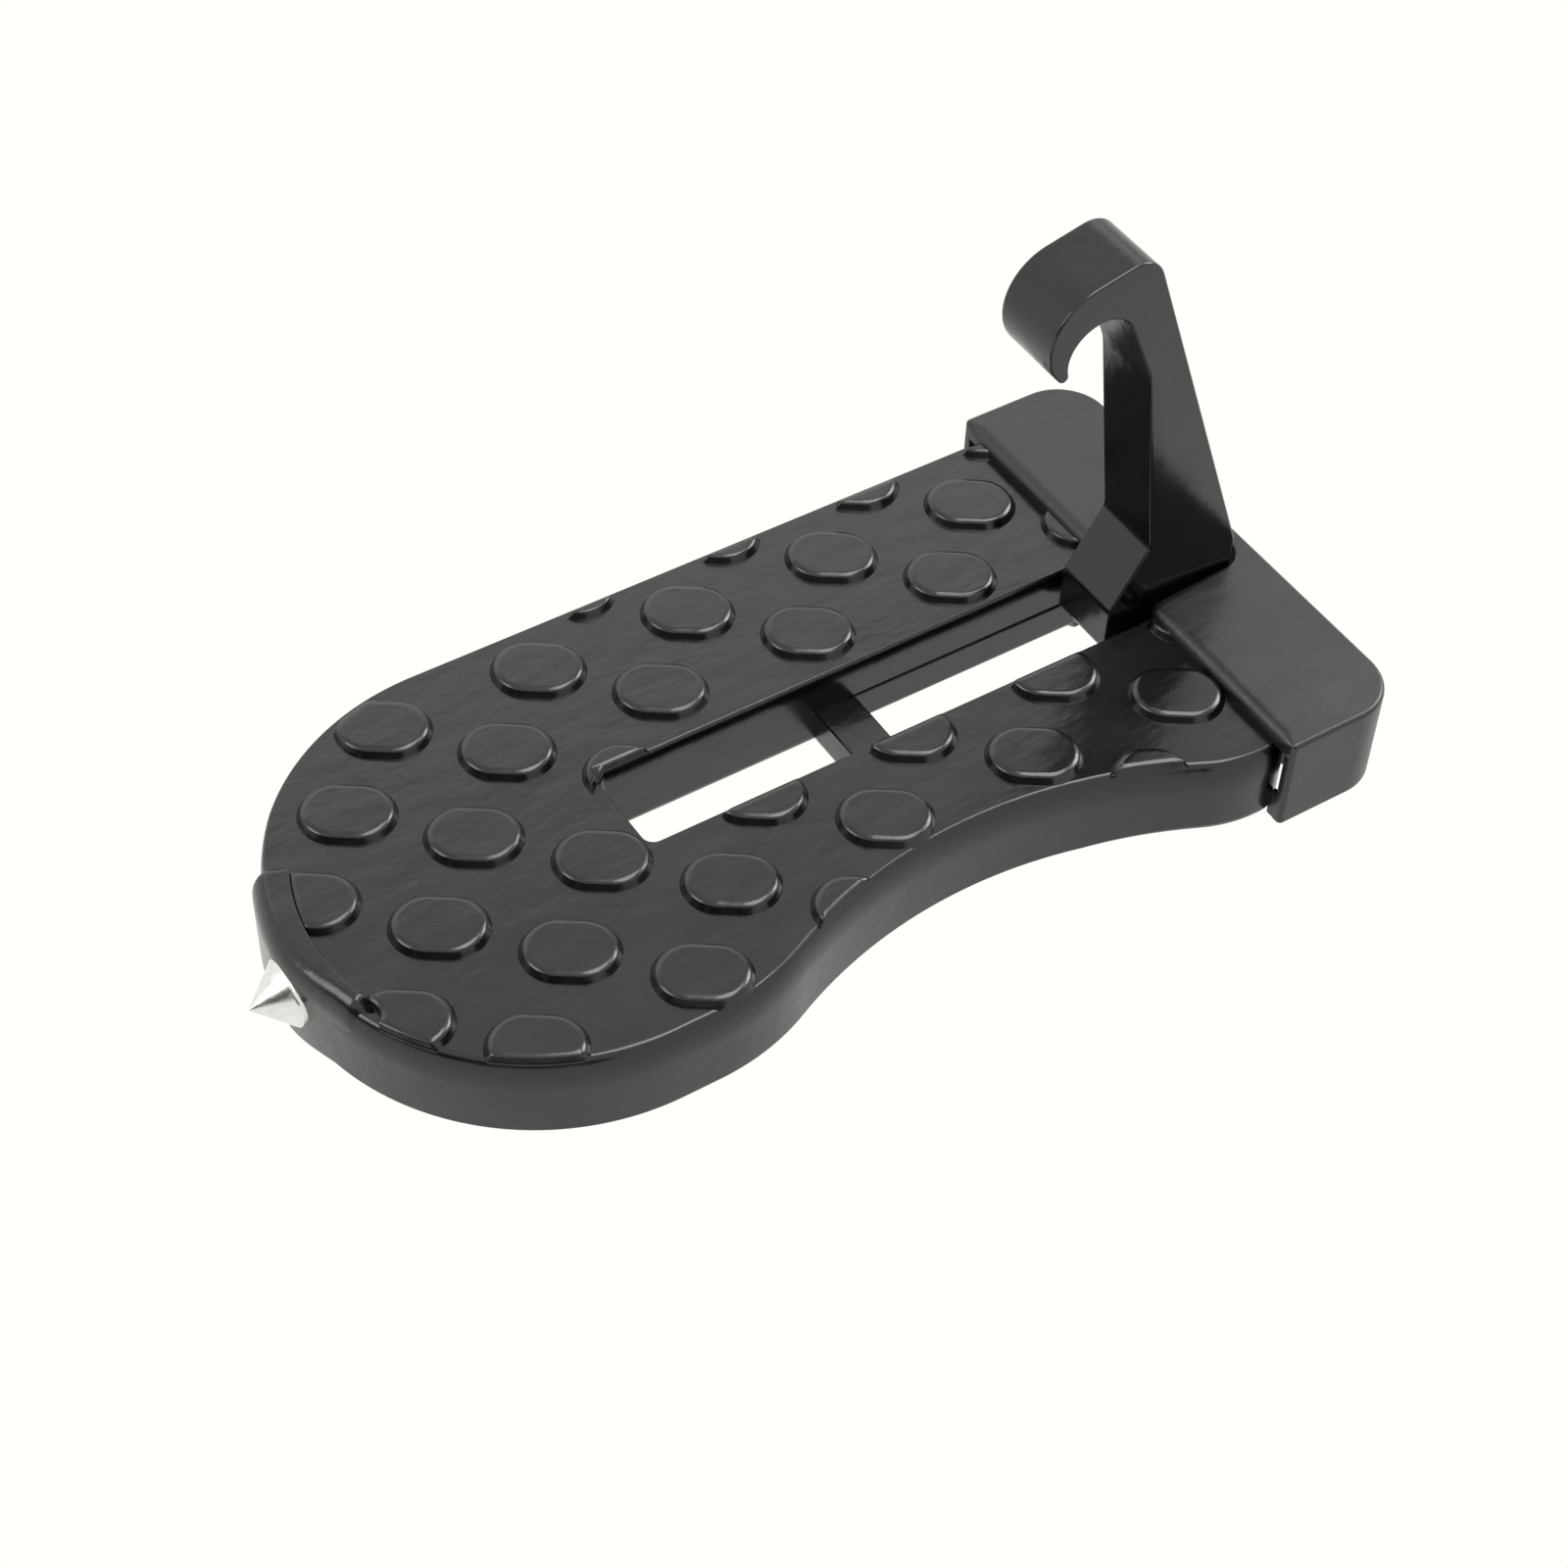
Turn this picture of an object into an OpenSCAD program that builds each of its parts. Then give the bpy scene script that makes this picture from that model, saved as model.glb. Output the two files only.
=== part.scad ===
// Folding car door step: a sole-shaped cast foot plate with a raised tread,
// a folding hook that hangs on the door striker, a rubber end bumper and a
// glass-breaker tip in the round end. X runs from the tip to the bumper,
// Y runs across, Z is up, and the plate rests on Z = 0.

/* [Foot plate] */
// Thickness of the plate without its tread
plate_t = 13.2; // [12.6:0.1:16]
// Half of the plate's width, which is also the radius of the round end
end_r = 37.3; // [36:0.1:39]
// Length from the centre of the round end to the bumper's front face
plate_l = 96.4; // [95:0.1:104]

/* [Waist on the near side] */
// Straight run between the round end and the shoulder curve
shoulder_run = 5.5; // [3:0.1:8]
// Radius of the shoulder curve
shoulder_r = 35; // [31:0.5:36]
// How far the waist is set in from the plate's side
waist_in = 10.4; // [8:0.1:12]
// Radius of the curve that leads out of the waist to the bumper
flare_r = 20; // [12:0.5:22]
// Radius of the corners where the sides end at the bumper
corner_r = 5; // [3:0.1:7]

/* [Tread] */
// Distance between studs along a row
stud_pitch = 24; // [23:0.1:26]
// Distance between rows
row_pitch = 11.87; // [11.6:0.01:12.4]
// Length of one oval stud
stud_l = 12.8; // [10.2:0.1:13]
// Width of one oval stud
stud_w = 9.8; // [6:0.1:10]
// Height of the studs
stud_h = 1.2; // [0.6:0.05:2]
// Angle of each oval stud to the plate's length
stud_turn = -34; // [-60:1:60]
// Angle of the stud rows to the plate's length
row_turn = -2.2; // [-4:0.1:4]
// Shift of each row along the rows
row_shift = 1.07; // [0.6:0.01:1.5]
// Plain border between the tread and the plate's outline
tread_border = 0.8; // [0.6:0.1:3]
// Plain border between the tread and the slot
slot_border = 0.9; // [0.4:0.1:2]

/* [Slot] */
// Width of the slot
slot_w = 14.1; // [13.4:0.1:16]
// Distance from the round end's centre to the slot
slot_start = 12.7; // [8:0.1:14]
// Corner radius at the closed end of the slot
slot_r = 1.6; // [0.8:0.1:4]
// Distance from the slot's closed end to the crossbar
bar_at = 35.9; // [34:0.1:37]
// Width of the crossbar
bar_w = 6.8; // [5:0.1:7.5]
// Depth of the crossbar's top below the plate's top
bar_drop = 6.6; // [6.4:0.1:8]
// Width of the ledge along the slot behind the crossbar
ledge_w = 0.3; // [0.2:0.05:0.4]

/* [Breaker tip] */
// Radius of the cone's base
tip_r = 5; // [3.5:0.1:5.6]
// Length of the cone
tip_l = 5.4; // [3:0.1:9]
// Radius of the shank pressed into the plate
shank_r = 3; // [2:0.1:3.2]
// Length of the shank
shank_l = 12; // [6:0.1:20]
// Height of the thickened rim around the tip above the plate
rim_h = 1.2; // [0.5:0.1:2]
// How far the rim stands out of the round end
rim_out = 1; // [0.5:0.1:2]
// Width of the rim on the plate's top
rim_w = 4.6; // [3:0.1:6]
// Half of the angle that the rim covers
rim_half_angle = 24; // [20:1:30]

/* [Bumper] */
// How far the bumper stands out beyond each side of the plate
bumper_over = 2.7; // [1.8:0.1:5]
// Length of the bumper from front to back
bumper_l = 20.4; // [20:0.1:26]
// Height of the bumper above the plate's top
bumper_rise = 2.7; // [2:0.1:5]
// Radius of the bumper's back corners
bumper_r = 8; // [6:0.1:9]
// Thickness of the bumper's back wall
bumper_wall = 2.4; // [1.6:0.1:4]
// Thickness of the flange below the plate's tongue
flange_t = 2.4; // [1.8:0.1:3]
// How far the tongue is set in from the plate's side
tongue_in = 7; // [5:0.1:9]
// Distance from the plate's middle line to each bumper screw
screw_at = 20; // [14:0.1:24]
// Radius of the screw's thread
screw_r = 1.5; // [1.2:0.05:1.7]
// Radius of the countersunk screw head
screw_head_r = 2.8; // [2.4:0.05:3]
// Length of the screw
screw_l = 9; // [6:0.1:10]

/* [Hook] */
// Clearance between the hook and each side of the slot
hook_gap = 1.15; // [0.9:0.05:1.5]
// Height of the striker throat's centre above the plate's top
throat_h = 53.8; // [50:0.1:60]
// Lean of the hook's back towards the foot plate, in degrees
back_lean = 20.2; // [19:0.1:21]
// Radius of the throat that takes the striker
throat_r = 5.3; // [4.8:0.1:5.8]
// Thickness of the curl at its side
curl_t = 2.9; // [2.4:0.1:4]
// Thickness of the arm beside the throat
arm_t = 7.2; // [6:0.1:8.5]
// Radius of the hinge pin
pin_r = 2.5; // [2:0.1:3]
// Running clearance between the pin and the hook
pin_play = 0.06; // [0.02:0.01:0.1]
// Radius of the hook's hub around the pin
hub_r = 5.8; // [5:0.1:6.4]
// Clearance between the hub and the end of the slot
hub_play = 0.4; // [0.3:0.05:0.6]
// Length of the pin on each side of the slot
pin_grip = 12; // [8:0.5:18]

/* [Hidden] */

// Fineness of circles, and small working lengths
arc_fn = 120;
small_fn = 40;
stud_fn = 24;
over = 1;
far_off = 200;
fit_gap = 0.02;

// Levels
top_z = plate_t;
bumper_top_z = top_z + bumper_rise;
bar_z = top_z - bar_drop;
tip_z = top_z / 2;

// Stations along the plate, from the centre of the round end
bumper_back_x = plate_l + bumper_l;
plate_end_x = bumper_back_x - bumper_wall;
end_wall = 2;
slot_end_x = plate_end_x - end_wall;
bar_x = slot_start + bar_at;
bar_end_x = bar_x + bar_w;
flare_x = plate_l - 1.9;
side_end_x = flare_x + corner_r;
rim_r = end_r + rim_out;
tip_end_x = -(rim_r + tip_l);
mid_x = (bumper_back_x + tip_end_x) / 2;

// Hinge
pin_x = slot_end_x - hub_play - hub_r;
pin_z = hub_r + hub_play;
pin_y = slot_w / 2 + pin_grip;

// Near side: centres of the curves, each tangent to the next. The waist's
// radius follows from its depth and from the length between the two curves.
shoulder_x = shoulder_run;
shoulder_y = -(end_r - shoulder_r);
flare_y = -(end_r - flare_r);
waist_q = (flare_x - shoulder_x) / sqrt(waist_in);
waist_root = (waist_q + 2 * (shoulder_r - flare_r) / waist_q) / 2;
waist_r = (waist_root * waist_root - 2 * shoulder_r + waist_in) / 2;
waist_x = shoulder_x + waist_root * sqrt(waist_in);
waist_y = -(end_r - waist_in) - waist_r;
waist_ease = 0.1;

// Tongue and bumper
tongue_half_w = end_r - tongue_in;
pocket_gap = 2;
leg_gap = 0.3;
pocket_half_w = end_r + leg_gap;
bumper_half_w = end_r + bumper_over;
notch_gap = 0.4;
notch_half_w = (slot_w - 2 * ledge_w) / 2 - hook_gap + notch_gap;
notch_back_x = plate_end_x - 0.2;
notch_r = 3.5;
screw_x = (pin_x + pin_r + plate_end_x) / 2;
screw_sink = 0.2;
screw_head_h = screw_head_r - screw_r;
recess_w = 0.7;
recess_l = 3;
recess_h = 1;

// Breaker tip
tip_seat = 0.8;

// Tread: first stud, and each run of studs as its row, first and last place
first_stud_x = -8.1;
first_stud_y = end_r - 7.65;
tread_runs = [
  [-1, 1.5, 4.5],
  [0, 0, 4],
  [1, -0.5, 4.5],
  [2, -1, 1],
  [3, -0.5, 4.5],
  [4, -1, 4],
  [5, -0.5, 4.5]
];

// Rim around the tip
rim_in_r = end_r - rim_w;
rim_top_z = top_z + rim_h;

// Hook: width, levels and stations
inner_w = slot_w - 2 * ledge_w;
hook_w = inner_w - 2 * hook_gap;
back_x = pin_x + hub_r;
heel_z = top_z + 7.3;
throat_z = top_z + throat_h;
throat_x = back_edge_x(throat_z) - arm_t - throat_r;
inner_lean = 22.8;
neck_drop = 8.1;
neck_z = throat_z - neck_drop;
neck_x = throat_x + throat_r * cos(inner_lean)
  + (throat_r * sin(inner_lean) + neck_drop) * tan(inner_lean);
root_z = top_z + 12.8;
root_x = back_edge_x(root_z) - 13.9;
toe_x = back_x - 22.2;
toe_z = top_z + 2.9;
toe_slope = 0.2;
toe_foot_z = top_z - 4.5;
toe_dir = atan2(toe_foot_z - pin_z, toe_x - pin_x);
toe_far = norm([toe_foot_z - pin_z, toe_x - pin_x]);
hub_turn = toe_dir < 0 ? toe_dir + 360 : toe_dir;
hub_tangent = hub_turn + acos(hub_r / toe_far);

// Hook: curl around the throat, its lip, and the crown at the top of the back
curl_back = 0.3;
curl_lift = 3.3;
curl_r = throat_r + curl_t;
curl_x = throat_x - curl_back;
curl_z = throat_z + curl_lift;
curl_off = norm([curl_back, curl_lift]);
lip_r = 0.8;
lip_arm = curl_r - lip_r;
lip_reach = throat_r + lip_r;
lip_cos = (lip_arm * lip_arm + curl_off * curl_off - lip_reach * lip_reach) / (2 * lip_arm * curl_off);
lip_dir = atan2(-curl_lift, curl_back) - acos(lip_cos);
lip_x = curl_x + lip_arm * cos(lip_dir);
lip_z = curl_z + lip_arm * sin(lip_dir);
crown_rise = 13.5;
crown_r = 4.6;
crown_b = back_x * cos(back_lean) + heel_z * sin(back_lean) - crown_r;
crown_t = curl_z * cos(crown_rise) - curl_x * sin(crown_rise) + curl_r - crown_r;
crown_det = cos(back_lean - crown_rise);
crown_x = (crown_b * cos(crown_rise) - crown_t * sin(back_lean)) / crown_det;
crown_z = (crown_t * cos(back_lean) + crown_b * sin(crown_rise)) / crown_det;

// Station of the hook's leaning back edge at a height
function back_edge_x(z) = back_x - (z - heel_z) * tan(back_lean);

// Places a piece so that the origin lies under the middle of the whole part
module placed() {
  translate([-mid_x, 0, 0]) children();
}

// Everything behind a station along the plate
module behind(x) {
  translate([x - far_off, -far_off]) square([far_off, 2 * far_off]);
}

// Outline of the plate's full-width part, drawn with an inset
module plate_outline(inset = 0) {
  circle(r = end_r - inset, $fn = arc_fn);
  square([flare_x, end_r - inset]);
  translate([0, -end_r + inset]) square([shoulder_x, end_r]);
  translate([shoulder_x, shoulder_y]) circle(r = shoulder_r - inset, $fn = arc_fn);
  difference() {
    polygon([
      [shoulder_x, over],
      [shoulder_x, shoulder_y],
      [waist_x, waist_y],
      [flare_x, flare_y],
      [flare_x, over]
    ]);
    translate([waist_x, waist_y]) circle(r = waist_r + waist_ease + inset, $fn = arc_fn);
  }
  intersection() {
    translate([flare_x, flare_y]) circle(r = flare_r - inset, $fn = arc_fn);
    behind(flare_x);
  }
  translate([flare_x - over, -end_r + corner_r])
    square([side_end_x - inset - flare_x + over, 2 * (end_r - corner_r)]);
  for (side = [-1, 1])
    translate([flare_x, side * (end_r - corner_r)])
      circle(r = corner_r - inset, $fn = small_fn);
}

// Thickened rim around the breaker tip
module rim() {
  intersection() {
    difference() {
      cylinder(r = rim_r, h = rim_top_z, $fn = arc_fn);
      translate([0, 0, -over]) cylinder(r = rim_in_r, h = rim_top_z + 2 * over, $fn = arc_fn);
    }
    linear_extrude(2 * rim_top_z) polygon([
      [0, 0],
      [-far_off, far_off * tan(rim_half_angle)],
      [-far_off, -far_off * tan(rim_half_angle)]
    ]);
  }
}

// One oval stud
module stud() {
  run = stud_l - stud_w;
  square([run, stud_w], center = true);
  for (end = [-1, 1])
    translate([end * run / 2, 0]) circle(d = stud_w, $fn = stud_fn);
}

// Raised tread, cut short at the border, the slot, the rim and the bumper
module tread() {
  translate([0, 0, top_z - over]) linear_extrude(over + stud_h)
    difference() {
      intersection() {
        for (run = tread_runs, place = [run[1] : run[2]])
          translate([first_stud_x, first_stud_y]) rotate(row_turn)
            translate([place * stud_pitch + run[0] * row_shift, -run[0] * row_pitch])
              rotate(stud_turn - row_turn) stud();
        plate_outline(tread_border);
        behind(plate_l);
      }
      translate([slot_start - slot_border, -slot_w / 2 - slot_border])
        square([far_off, slot_w + 2 * slot_border]);
    }
}

// Tongue that carries the bumper
module tongue() {
  translate([side_end_x - corner_r, -tongue_half_w, flange_t])
    cube([plate_end_x - side_end_x + corner_r, 2 * tongue_half_w, plate_t - flange_t]);
}

// Slot for the folded hook: the left window, the upper part over the crossbar,
// and the slightly narrower lower part behind it
module slot_cut() {
  translate([0, 0, -over]) linear_extrude(top_z + 3 * over) {
    translate([slot_start + slot_r, -slot_w / 2]) square([bar_at - slot_r, slot_w]);
    translate([slot_start, -slot_w / 2 + slot_r]) square([bar_at, slot_w - 2 * slot_r]);
    for (side = [-1, 1])
      translate([slot_start + slot_r, side * (slot_w / 2 - slot_r)])
        circle(r = slot_r, $fn = small_fn);
  }
  translate([bar_x - over, -slot_w / 2, bar_z])
    cube([slot_end_x - bar_x + over, slot_w, bar_drop + 2 * over]);
  translate([bar_end_x, -inner_w / 2, -over])
    cube([slot_end_x - bar_end_x, inner_w, bar_z + 2 * over]);
}

// Bore for the hinge pin, open on the far side of the tongue
module pin_bore() {
  translate([pin_x, -pin_y, pin_z]) rotate([-90, 0, 0])
    cylinder(r = pin_r, h = pin_y + tongue_half_w + over, $fn = small_fn);
}

// Seat of the breaker tip
module tip_bore() {
  translate([-rim_r - over, 0, tip_z]) rotate([0, 90, 0]) {
    cylinder(r = shank_r, h = over + tip_seat + shank_l, $fn = small_fn);
    cylinder(r = tip_r + 2 * fit_gap, h = over + tip_seat, $fn = small_fn);
  }
}

// Cast foot plate
module foot_plate() {
  color([0.24, 0.24, 0.25]) placed()
    difference() {
      union() {
        linear_extrude(plate_t) plate_outline();
        rim();
        tread();
        tongue();
      }
      slot_cut();
      pin_bore();
      tip_bore();
      for (side = [-1, 1])
        translate([screw_x, side * screw_at, 0]) cylinder(r = screw_r, h = screw_l, $fn = small_fn);
    }
}

// Round bar across the hook, in the hook's own side view
module hook_round(x, z, r) {
  translate([x, z, 0]) cylinder(r = r, h = hook_w, $fn = arc_fn);
}

// Arm, back and toe of the hook in side view
module hook_arm() {
  linear_extrude(hook_w) polygon([
    [toe_x, toe_foot_z],
    [toe_x, top_z],
    [toe_x + toe_slope, toe_z],
    [root_x, root_z],
    [neck_x, neck_z],
    [throat_x, throat_z],
    [curl_x, curl_z],
    [curl_x - curl_r * sin(crown_rise), curl_z + curl_r * cos(crown_rise)],
    [crown_x - crown_r * sin(crown_rise), crown_z + crown_r * cos(crown_rise)],
    [crown_x + crown_r * cos(back_lean), crown_z + crown_r * sin(back_lean)],
    [back_x, heel_z],
    [back_x, pin_z],
    [pin_x + hub_r * cos(hub_tangent), pin_z + hub_r * sin(hub_tangent)]
  ]);
}

// Space inside the curl and below its lip
module throat_cut() {
  translate([0, 0, -over]) {
    translate([throat_x, throat_z]) cylinder(r = throat_r, h = hook_w + 2 * over, $fn = arc_fn);
    linear_extrude(hook_w + 2 * over) polygon([
      [throat_x, throat_z],
      [lip_x, lip_z],
      [lip_x + 2 * lip_r * cos(lip_dir), lip_z + 2 * lip_r * sin(lip_dir)],
      [throat_x - 2 * curl_r, neck_z],
      [neck_x, neck_z],
      [throat_x + throat_r * cos(inner_lean), throat_z + throat_r * sin(inner_lean)]
    ]);
  }
}

// Folding hook
module hook() {
  color([0.22, 0.22, 0.23]) placed()
    translate([0, hook_w / 2, 0]) rotate([90, 0, 0]) {
      difference() {
        union() {
          hook_arm();
          hook_round(curl_x, curl_z, curl_r);
          hook_round(crown_x, crown_z, crown_r);
          hook_round(pin_x, pin_z, hub_r);
        }
        throat_cut();
        translate([pin_x, pin_z, -over])
          cylinder(r = pin_r + pin_play, h = hook_w + 2 * over, $fn = small_fn);
      }
      hook_round(lip_x, lip_z, lip_r);
    }
}

// Hinge pin, pressed into the plate on both sides of the slot
module hinge_pin() {
  color([0.7, 0.7, 0.72]) placed()
    translate([pin_x, -pin_y, pin_z]) rotate([-90, 0, 0])
      cylinder(r = pin_r, h = 2 * pin_y, $fn = small_fn);
}

// Plan of the bumper's outer form
module bumper_outline() {
  translate([plate_l, -bumper_half_w]) square([bumper_l - bumper_r, 2 * bumper_half_w]);
  translate([plate_l, -bumper_half_w + bumper_r])
    square([bumper_l, 2 * (bumper_half_w - bumper_r)]);
  for (side = [-1, 1])
    translate([bumper_back_x - bumper_r, side * (bumper_half_w - bumper_r)])
      circle(r = bumper_r, $fn = arc_fn);
}

// Notch that lets the hook through the bumper's top
module bumper_notch() {
  translate([plate_l - over, -notch_half_w])
    square([notch_back_x - notch_r - plate_l + over, 2 * notch_half_w]);
  translate([notch_back_x - notch_r - over, -notch_half_w + notch_r])
    square([notch_r + over, 2 * (notch_half_w - notch_r)]);
  for (side = [-1, 1])
    translate([notch_back_x - notch_r, side * (notch_half_w - notch_r)])
      circle(r = notch_r, $fn = small_fn);
}

// Rubber cap over the plate's end
module end_bumper() {
  color([0.2, 0.2, 0.22]) placed()
    difference() {
      linear_extrude(bumper_top_z) bumper_outline();
      translate([plate_l - over, -pocket_half_w, -over])
        cube([side_end_x + pocket_gap - plate_l + over, 2 * pocket_half_w, top_z + over]);
      translate([plate_l, -tongue_half_w, flange_t])
        cube([plate_end_x - plate_l, 2 * tongue_half_w, plate_t - flange_t]);
      linear_extrude(2 * bumper_top_z) bumper_notch();
      for (side = [-1, 1]) translate([screw_x, side * screw_at, 0]) screw_seat();
    }
}

// Countersunk screw without its recess
module screw_blank() {
  translate([0, 0, screw_sink]) {
    cylinder(r1 = screw_head_r, r2 = screw_r, h = screw_head_h, $fn = small_fn);
    cylinder(r = screw_r, h = screw_l - screw_sink, $fn = small_fn);
  }
}

// Space for a screw in the bumper's flange
module screw_seat() {
  translate([0, 0, -over]) cylinder(r = screw_head_r, h = over + screw_sink, $fn = small_fn);
  screw_blank();
}

// One bumper screw with its cross recess, on the near or the far side
module bumper_screw(side) {
  color([0.6, 0.6, 0.62]) placed()
    translate([screw_x, side * screw_at, 0])
      difference() {
        screw_blank();
        for (turn = [0, 90]) rotate(turn)
          translate([-recess_l / 2, -recess_w / 2, 0])
            cube([recess_l, recess_w, screw_sink + recess_h]);
      }
}

module bumper_screw_near() {
  bumper_screw(-1);
}

module bumper_screw_far() {
  bumper_screw(1);
}

// Hardened glass-breaker tip with its pressed shank
module hammer_tip() {
  color([0.8, 0.8, 0.82]) placed()
    translate([tip_end_x, 0, tip_z]) rotate([0, 90, 0])
      rotate_extrude($fn = small_fn) polygon([
        [0, 0],
        [tip_r, tip_l],
        [tip_r, tip_l + tip_seat],
        [shank_r, tip_l + tip_seat],
        [shank_r, tip_l + tip_seat + shank_l],
        [0, tip_l + tip_seat + shank_l]
      ]);
}

foot_plate();
hook();
hinge_pin();
end_bumper();
bumper_screw_near();
bumper_screw_far();
hammer_tip();
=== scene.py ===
"""Looks of the folding car door step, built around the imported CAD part."""

import math

import bpy
import numpy as np
from mathutils import Matrix, Vector
from mathutils.geometry import delaunay_2d_cdt


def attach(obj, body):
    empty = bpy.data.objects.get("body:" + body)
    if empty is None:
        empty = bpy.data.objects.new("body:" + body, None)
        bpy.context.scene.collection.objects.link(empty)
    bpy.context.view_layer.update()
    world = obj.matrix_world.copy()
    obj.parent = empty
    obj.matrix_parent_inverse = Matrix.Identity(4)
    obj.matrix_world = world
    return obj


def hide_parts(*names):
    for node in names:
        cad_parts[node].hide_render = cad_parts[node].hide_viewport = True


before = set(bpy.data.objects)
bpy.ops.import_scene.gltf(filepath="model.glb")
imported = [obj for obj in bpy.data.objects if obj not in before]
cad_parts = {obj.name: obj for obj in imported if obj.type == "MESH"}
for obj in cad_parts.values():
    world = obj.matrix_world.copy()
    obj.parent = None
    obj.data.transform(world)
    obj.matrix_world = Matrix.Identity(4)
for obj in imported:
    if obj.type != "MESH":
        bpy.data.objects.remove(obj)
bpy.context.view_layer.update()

# All lengths of the object are in millimetres, with X measured from the centre of the round end.
MM = 0.001
ORIGIN_X = 36.55
# Gap between faces of overlapping shells, and the tolerance when a point is matched to a line
HAIR = 0.02
MATCH = 0.1

# Foot plate: the round end, and the start of the bumper and of the tongue inside it
TOP_Z = 13.2
END_R = 37.3
FRONT_X = 96.4
TONGUE_X = 94.5
CORNER_X = 95.2
CORNER_R = 5.0
# Arcs of the waisted side as centre X, centre Y and radius, and the turns of the outer two
SHOULDER = (5.5, -2.3, 35.0)
WAIST = (51.74, -99.9, 73.0)
FLARE = (94.5, -17.3, 20.0)
SHOULDER_TURN = 64.65
FLARE_TURN = 62.63
# Rounding of the upper edges on the near and the far side, and its height over its width
EDGE_R = 1.7
FAR_EDGE_R = 0.45
EDGE_TALL = 3.0
# Rounding of the lower edges, and what it gains along the flare
LOW_EDGE_R = 0.35
FLARE_EDGE_GAIN = 1.5
# Ranges over which the roundings change, and the limit of the side with the flare
FAR_EDGE_Y = (0.0, 24.0)
FLARE_EDGE_X = (70.0, 86.0)
FLARE_SIDE_Y = -25.0

# Slot and crossbar
SLOT_HALF = 7.05
SLOT_START = 12.7
SLOT_END = 112.4
BAR_X = (48.6, 55.4)
BAR_Z = 6.6
LEDGE = 0.3
TONGUE_Z = 2.4
SLOT_LOW_EDGE_R = 2.0
SLOT_EDGE_R = 0.4
SLOT_FAR_EDGE_R = 0.9
SLOT_FAR_EDGE_Y = (4.0, 7.0)
# Corner radii at the closed end and at the mouth, and half the length in which the rounding ends
SLOT_CORNER_R = 1.6
SLOT_MOUTH_R = 0.6
SLOT_EDGE_STOP = 0.5
# How far the crossbar and the ledges run into the plate
BURIED = 3.0

# Tread: oval studs in turned rows, cut away along the borders
STUD_HALF_W = 4.75
STUD_HALF_RUN = 1.5
STUD_TURN = -34.0
ROW_TURN = -2.2
STUD_PITCH = 24.0
ROW_PITCH = 11.87
ROW_SHIFT = 1.07
FIRST_STUD = (-8.12, 29.64)
TREAD_BORDER = 0.9
FAR_BORDER = 1.45
FAR_BORDER_Y = 20.0
SLOT_BORDER = 0.95
SLOT_FAR_BORDER = 0.4
# How far the tread runs on under the bumper
TREAD_UNDER = 0.6
# Row number with the first and the last place along it
RUNS = (
    (-1, 1.5, 4.5),
    (0, 0, 4),
    (1, -0.5, 4.5),
    (2, -1, 1),
    (3, -0.5, 4.5),
    (4, -1, 4),
    (5, -0.5, 4.5),
)
# Shorter studs, as row and place
SHORT_STUDS = ((2, 1), (5, 1.5), (5, 3.5))
SHORT_HALF_RUN = 0.4
# Points around a stud, the least depth of a cut stud that is still made, and the furthest reach
STUD_POINTS = 96
LEAST_DEPTH = 0.4
STUD_REACH = 9.0
# Ring by ring from under the plate's top to the stud's top: growth, height and tilt of the normal
STUD_PROFILE = (
    (0.65, -1.2, 0),
    (0.65, -0.01, 34),
    (0.52, 0.05, 30),
    (0.42, 0.16, 27),
    (0.07, 0.84, 27),
    (-0.03, 1.0, 45),
    (-0.22, 1.12, 60),
    (-0.55, 1.18, 74),
    (-0.95, 1.2, 90),
)

# Rim around the breaker tip: its angles run from the far end to the near end, in degrees
RIM_FROM = 156.5
RIM_TO = 204.8
RIM_TOP = 14.42
RIM_IN_R = 33.3
RIM_IN_TO_R = 34.1
# How far it stands out beyond the plate, and the angles between which that fades to nothing
RIM_OUT = 1.35
RIM_FADE = (180.0, 196.0)
# How deep it lies in the plate's side where it has faded, and in the plate's top
RIM_SUNK = 0.06
RIM_DEPTH = 1.0
# Rounding of its outer top edge, and of its other edges
RIM_EDGE_WIDE = 2.6
RIM_EDGE_TALL = 4.2
RIM_EDGE_R = 0.35
# The round far end, and the near end that slopes down
RIM_END_R = 1.2
RIM_END_DROP = 0.6
RIM_RAMP = 4.4
RIM_RAMP_INSET = 1.5
RIM_RAMP_DROP = 1.6
# Angles between which the rim and a gap at each end cut the tread away, and the cut's corner radius
RIM_GAP = (152.5, 206.2)
RIM_GAP_R = 2.4

# Breaker tip, on an axis along X
TIP_Z = 6.6
TIP_BASE_X = -38.3
TIP_POINT_X = -43.7
TIP_R = 5.0

# Bumper
BUMPER_TOP = 15.9
BUMPER_BACK = 116.8
BUMPER_HALF = 40.0
BUMPER_BACK_R = 8.0
LEG_R = 0.8
TONGUE_HALF = 30.3
TONGUE_END = 114.4
TONGUE_GAP = 0.6
# Pocket for the plate's end between the legs: half width, depth by the tongue and depth by the legs
POCKET_HALF = END_R + 0.9
POCKET_DEPTH = 5.1
POCKET_LEG_DEPTH = 8.1
# The notch for the hook, and the rounding of the pad's front edge
NOTCH_HALF = 6.0
NOTCH_R = 3.5
NOTCH_MOUTH_R = 2.2
PAD_EDGE_R = 2.0
# Rounding of the other upper edges and of the lower ones, and the corner radii of the pocket
BUMPER_EDGE_R = 0.7
BUMPER_LOW_EDGE_R = 0.35
POCKET_MOUTH_R = 0.4
POCKET_R = 0.5
POCKET_LEG_R = 0.8
LIP_TOP = 4.6

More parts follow.
